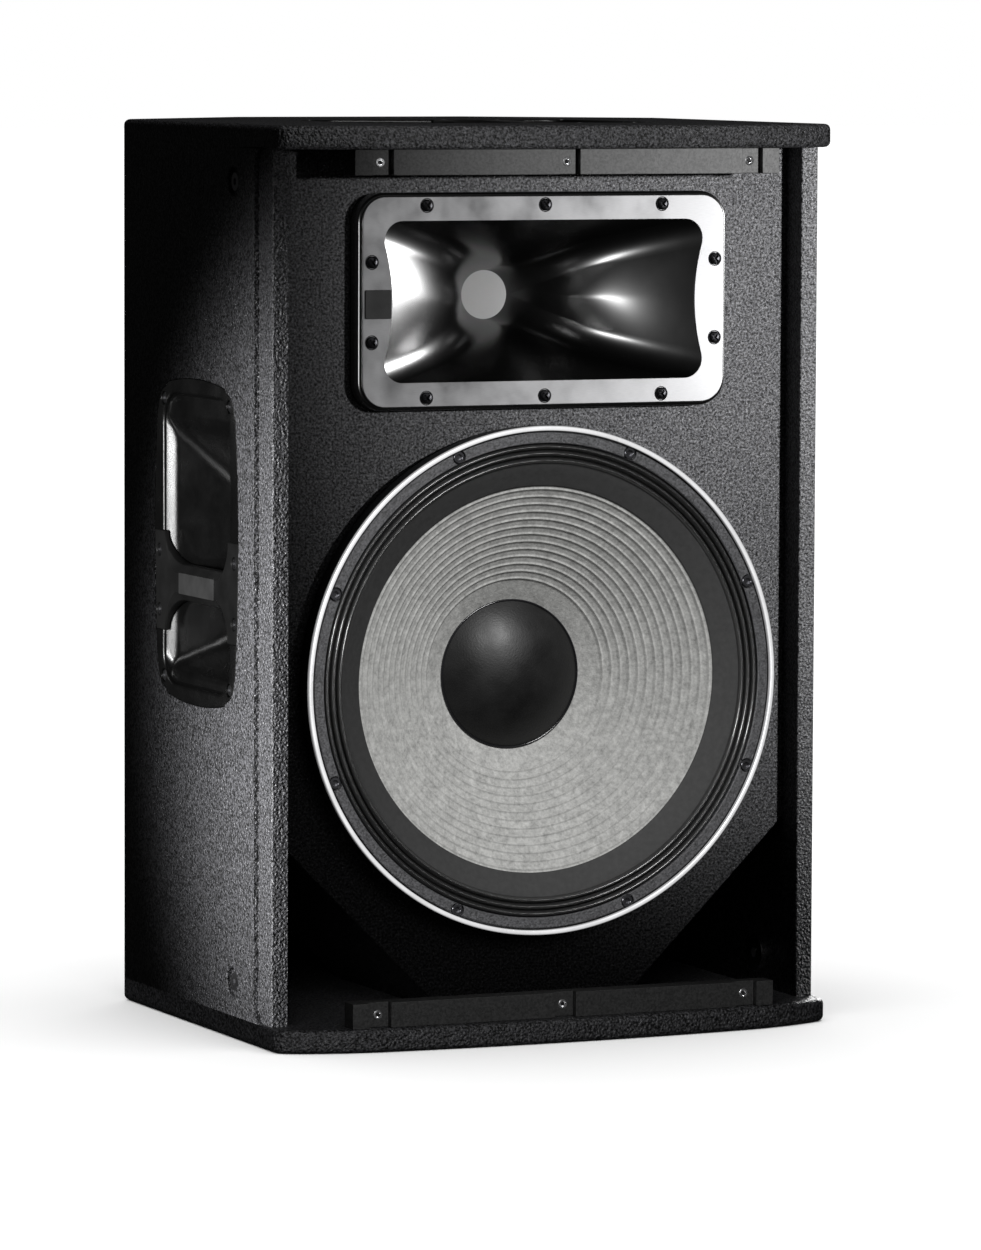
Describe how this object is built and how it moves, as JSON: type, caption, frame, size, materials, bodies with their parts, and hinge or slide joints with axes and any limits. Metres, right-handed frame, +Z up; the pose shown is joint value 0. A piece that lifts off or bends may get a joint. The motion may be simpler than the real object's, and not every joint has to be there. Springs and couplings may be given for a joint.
{
  "type": "pa speaker cabinet",
  "caption": "Portable two-way PA loudspeaker cabinet, grille off: large ribbed-cone woofer, rectangular horn, corner ports, side and top handles, black textured plywood box.",
  "frame": {"origin": "floor level, under the middle of the cabinet's width and depth", "axes": "+Z up, the front faces -Y, +X to the right seen from the front"},
  "size_m": [0.465, 0.446, 0.7],
  "materials": {
    "painted_wood": "pebble-textured black paint",
    "raw_plywood": "bare birch plywood",
    "rail_paint": "fine textured black",
    "bright_steel": "bright",
    "trim_metal": "polished",
    "cast_frame": "black crinkle paint",
    "gasket_foam": "matt",
    "screw_black": "black oxide",
    "screw_grey": "dark zinc",
    "surround_cloth": "gloss doped cloth",
    "cone_paper": "ribbed pulp",
    "cap_black": "gloss doped",
    "former_film": "satin film",
    "coil_copper": null,
    "spider_cloth": "resin-stiffened cloth",
    "plate_steel": "zinc plated",
    "ferrite": "dark grey",
    "bezel_silver": "satin silver",
    "horn_black": "gloss",
    "screen_mesh": "fine woven mesh",
    "plug_metal": "satin",
    "driver_cap": "satin",
    "diaphragm_metal": "bright",
    "handle_plastic": "satin",
    "grip_plastic": "satin",
    "socket_paint": "satin black",
    "plate_paint": "satin black",
    "connector_plastic": "satin",
    "knob_plastic": "satin",
    "board_green": "satin",
    "capacitor_film": "gloss"
  },
  "bodies": {
    "cabinet": {"top_panel": "painted_wood", "bottom_panel": "painted_wood", "left_side_panel": "painted_wood", "right_side_panel": "painted_wood", "rear_left_panel": "painted_wood", "rear_right_panel": "painted_wood", "back_panel": "painted_wood", "front_baffle": "painted_wood", "left_port_board": "painted_wood", "right_port_board": "painted_wood", "brace_shelf": "raw_plywood", "top_grille_rail": "rail_paint", "bottom_grille_rail": "rail_paint", "grille_inserts": "bright_steel", "woofer_trim_ring": "trim_metal", "woofer_basket": "cast_frame", "woofer_gasket": "gasket_foam", "woofer_screws": "screw_black", "woofer_surround": "surround_cloth", "woofer_spider": "spider_cloth", "woofer_top_plate": "plate_steel", "woofer_magnet": "ferrite", "woofer_pole_piece": "plate_steel", "horn_bezel": "bezel_silver", "horn_waveguide": "horn_black", "horn_gasket": "gasket_foam", "horn_screws": "screw_black", "throat_screen": "screen_mesh", "hf_front_plate": "plate_steel", "hf_phase_plug": "plug_metal", "hf_magnet": "ferrite", "hf_rear_plate": "plate_steel", "hf_rear_cap": "driver_cap", "hf_driver_bolts": "screw_grey", "left_handle_cup": "handle_plastic", "right_handle_cup": "handle_plastic", "top_handle_cup": "handle_plastic", "left_handle_bar": "grip_plastic", "right_handle_bar": "grip_plastic", "top_handle_bar": "grip_plastic", "handle_screws": "screw_grey", "suspension_inserts": "bright_steel", "suspension_plugs": "screw_grey", "pole_socket": "socket_paint", "pole_socket_screws": "screw_grey", "input_plate": "plate_paint", "input_plate_screws": "screw_grey", "input_socket": "connector_plastic", "link_socket": "connector_plastic", "selector_switch": "knob_plastic", "crossover_board": "board_green", "crossover_inductors": "coil_copper", "crossover_capacitors": "capacitor_film", "crossover_standoffs": "bright_steel"},
    "woofer_moving": {"woofer_cone": "cone_paper", "dust_cap": "cap_black", "voice_coil_former": "former_film", "voice_coil": "coil_copper"},
    "diaphragm_moving": {"hf_diaphragm": "diaphragm_metal"},
    "selector_moving": {"selector_knob": "knob_plastic"}
  },
  "joints": [
    {"name": "woofer_travel", "type": "slide", "parent": "cabinet", "child": "woofer_moving", "axis": [0, -1, 0], "range_m": [-0.008, 0.008], "stiffness_N_per_m": 6000, "deforming": ["woofer_surround", "woofer_spider"]},
    {"name": "diaphragm_travel", "type": "slide", "parent": "cabinet", "child": "diaphragm_moving", "axis": [0, -1, 0], "range_m": [-0.0004, 0.0004], "stiffness_N_per_m": 5000},
    {"name": "selector_turn", "type": "hinge", "parent": "cabinet", "child": "selector_moving", "pos_m": [0, 0.2, 0.236], "axis": [0, 1, 0], "range_deg": [0, 90]}
  ]
}
